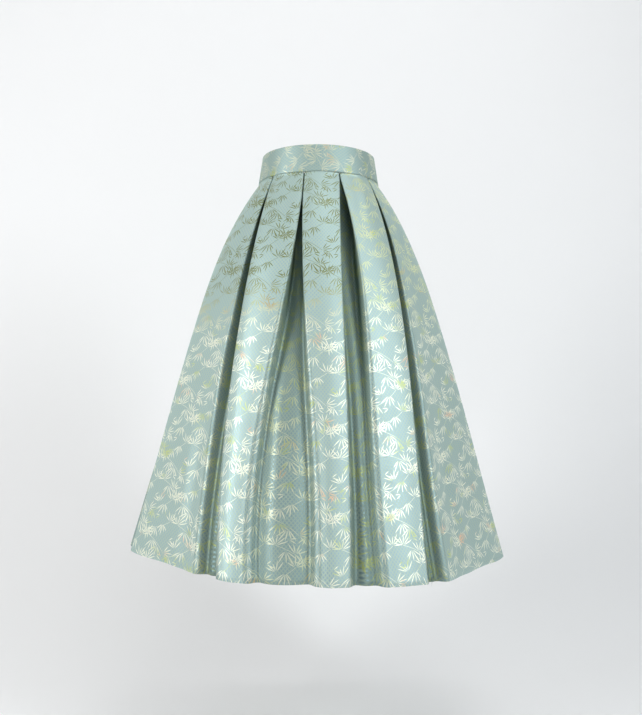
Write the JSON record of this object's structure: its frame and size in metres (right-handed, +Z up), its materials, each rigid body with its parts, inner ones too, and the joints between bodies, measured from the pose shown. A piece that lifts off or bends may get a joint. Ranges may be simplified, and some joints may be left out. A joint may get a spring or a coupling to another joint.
{
  "type": "pleated a-line skirt",
  "caption": "High-waisted mid-calf skirt of stiff bamboo-leaf jacquard with a plain waistband, inverted box pleats all round and a zip in the middle of the back, worn and hollow.",
  "frame": {"origin": "middle of the waist, at half the waistband's height, where the wearer holds the skirt up", "axes": "+Z up the wearer's body, the front faces -Y, +X is the wearer's left"},
  "size_m": [0.7286, 0.6318, 0.7875],
  "materials": {
    "jacquard": "stiff satin jacquard, celadon with pale gold bamboo leaves",
    "zip_metal": "satin enamel"
  },
  "bodies": {
    "garment": {"waistband": "jacquard", "skirt_front": "jacquard", "skirt_back_left": "jacquard", "skirt_back_right": "jacquard", "zip_slider": "zip_metal"},
    "pull": {"zip_pull": "zip_metal"}
  },
  "joints": [
    {"name": "pull_swing", "type": "hinge", "parent": "garment", "child": "pull", "pos_m": [0, 0.09959, 0.01934], "axis": [1, 0, 0], "range_deg": [0, 160]}
  ]
}
